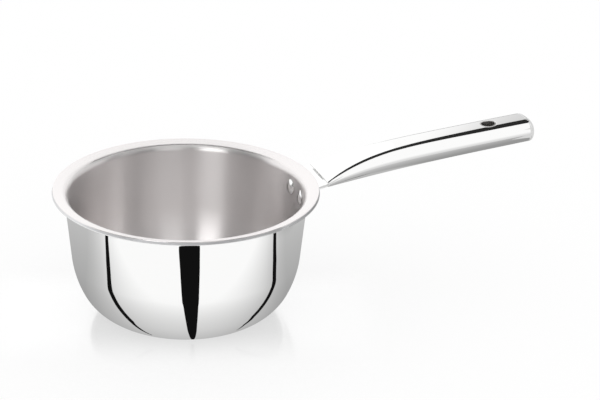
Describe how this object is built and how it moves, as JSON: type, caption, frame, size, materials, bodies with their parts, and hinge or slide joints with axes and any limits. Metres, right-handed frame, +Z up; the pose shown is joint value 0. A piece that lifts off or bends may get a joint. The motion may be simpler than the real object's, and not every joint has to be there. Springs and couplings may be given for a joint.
{
  "type": "milk pan",
  "caption": "Small polished steel milk pan with a flared rim and rounded base, bonded three-layer wall, and a hollow riveted handle with a hanging hole.",
  "frame": {"origin": "centre of the flat base, on the surface that the pan stands on", "axes": "+Z up along the bowl's axis; +X out along the handle, away from the bowl"},
  "size_m": [0.3445, 0.1798, 0.1173],
  "materials": {
    "polished_steel": "mirror-polished stainless steel",
    "satin_steel": "satin stainless steel, turned round the bowl",
    "core_metal": "plain rolled sheet, seen only at the lip's edge",
    "handle_steel": "mirror-polished stainless steel",
    "rivet_steel": "polished stainless steel"
  },
  "bodies": {
    "root": {"outer_shell": "polished_steel", "aluminium_core": "core_metal", "inner_liner": "satin_steel", "handle_bracket": "handle_steel", "handle_rivets": "rivet_steel", "handle_tube": "handle_steel", "hanging_hole_sleeve": "handle_steel", "handle_end_cap": "handle_steel"}
  },
  "joints": []
}
